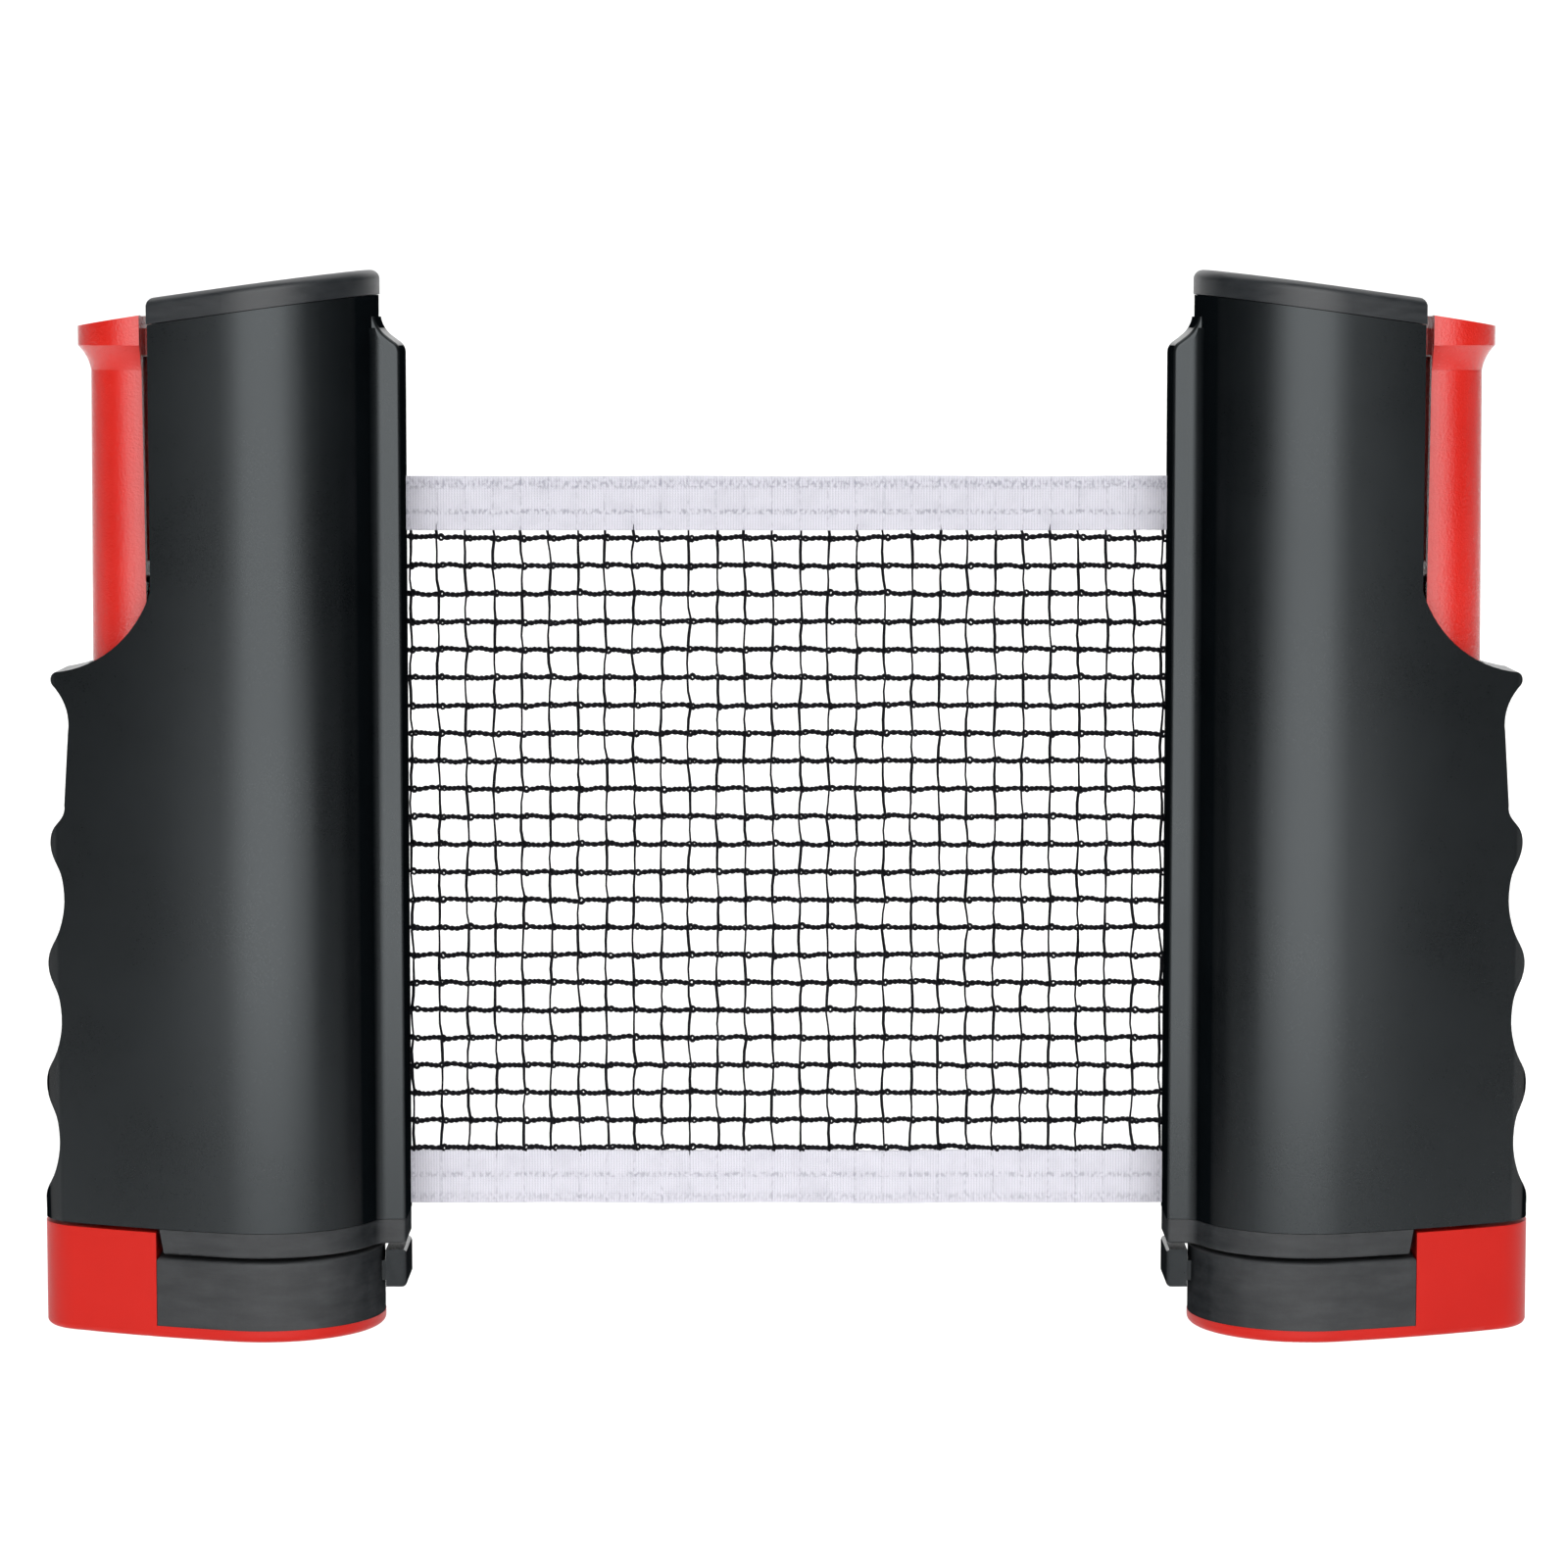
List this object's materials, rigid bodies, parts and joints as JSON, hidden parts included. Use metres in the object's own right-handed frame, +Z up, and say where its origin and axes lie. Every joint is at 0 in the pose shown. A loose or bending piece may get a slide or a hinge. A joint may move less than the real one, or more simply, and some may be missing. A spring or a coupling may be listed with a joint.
{
  "type": "table tennis net clamp",
  "caption": "Retractable table tennis net: two mirrored spring clamp posts with red push handles, each with a roller that the net between them winds onto.",
  "frame": {"origin": "centre of the bounding box in X and Y, on the resting plane under the two lower jaws", "axes": "+X along the net from the left post to the right one, +Y towards the back, the side the net plane is nearer to, +Z up"},
  "size_m": [0.2964, 0.0456, 0.21],
  "materials": {
    "dark_plastic": "satin, lightly moulded grain",
    "cap_plastic": "satin",
    "red_plastic": "fine spark-eroded grain",
    "grey_rubber": "matt",
    "black_gloss": "semi-gloss",
    "white_plastic": "satin",
    "steel": "zinc plated",
    "screws": "zinc plated",
    "spring_steel": "bright drawn",
    "tube_aluminium": "extruded",
    "brass": "turned",
    "net_cord": "twisted black cord",
    "tape_white": "woven white tape"
  },
  "bodies": {
    "left_post": {"left_housing": "dark_plastic", "left_top_cap": "cap_plastic", "left_foot_plate": "steel", "left_foot_screws": "screws", "left_upper_jaw_pad": "grey_rubber", "left_clamp_spring": "spring_steel", "left_spring_rod": "steel", "left_bearing_plate": "dark_plastic", "left_spindle_bushing": "brass", "left_power_spring": "spring_steel", "left_spring_cover": "steel", "left_cover_screws": "screws"},
    "left_slider": {"left_handle": "red_plastic", "left_lower_jaw": "red_plastic", "left_jaw_screws": "screws", "left_lower_jaw_pad": "grey_rubber", "left_pad_screws": "screws", "left_jaw_nose": "black_gloss", "left_spring_washer": "steel"},
    "left_reel": {"left_roller_core": "tube_aluminium", "left_net_keeper": "white_plastic", "left_roller_bushing": "white_plastic", "left_roller_spindle": "white_plastic", "left_net_roll": "net_cord"},
    "right_post": {"right_housing": "dark_plastic", "right_top_cap": "cap_plastic", "right_foot_plate": "steel", "right_foot_screws": "screws", "right_upper_jaw_pad": "grey_rubber", "right_clamp_spring": "spring_steel", "right_spring_rod": "steel", "right_bearing_plate": "dark_plastic", "right_spindle_bushing": "brass", "right_power_spring": "spring_steel", "right_spring_cover": "steel", "right_cover_screws": "screws"},
    "right_slider": {"right_handle": "red_plastic", "right_lower_jaw": "red_plastic", "right_jaw_screws": "screws", "right_lower_jaw_pad": "grey_rubber", "right_pad_screws": "screws", "right_jaw_nose": "black_gloss", "right_spring_washer": "steel"},
    "right_reel": {"right_roller_core": "tube_aluminium", "right_net_keeper": "white_plastic", "right_roller_bushing": "white_plastic", "right_roller_spindle": "white_plastic", "right_net_roll": "net_cord"},
    "net": {"net_panel": "net_cord", "net_top_tape": "tape_white", "net_bottom_tape": "tape_white"}
  },
  "joints": [
    {"name": "left_clamp", "type": "slide", "parent": "left_post", "child": "left_slider", "axis": [0, 0, -1], "range_m": [0, 0.043], "stiffness_N_per_m": 600, "springref_m": -0.02, "deforming": ["left_clamp_spring"]},
    {"name": "right_clamp", "type": "slide", "parent": "right_post", "child": "right_slider", "axis": [0, 0, -1], "range_m": [0, 0.043], "stiffness_N_per_m": 600, "springref_m": -0.02, "deforming": ["right_clamp_spring"]},
    {"name": "net_payout", "type": "slide", "parent": "left_post", "child": "net", "axis": [1, 0, 0], "range_m": [0, 1.52], "deforming": ["net_panel", "net_top_tape", "net_bottom_tape"]},
    {"name": "net_takeup", "type": "slide", "parent": "net", "child": "right_post", "axis": [1, 0, 0], "range_m": [-0.148, 0], "deforming": ["net_panel", "net_top_tape", "net_bottom_tape"]},
    {"name": "left_roller", "type": "hinge", "parent": "left_post", "child": "left_reel", "pos_m": [-0.103, 0, 0.096], "axis": [0, 0, -1], "range_deg": [0, 6970]},
    {"name": "right_roller", "type": "hinge", "parent": "right_post", "child": "right_reel", "pos_m": [0.103, 0, 0.096], "axis": [0, 0, -1], "range_deg": [0, 925]}
  ],
  "couplings": [
    {"joint": "left_roller", "follows": "net_payout", "rad_per_m": 80},
    {"joint": "right_roller", "follows": "net_takeup", "rad_per_m": -109}
  ]
}
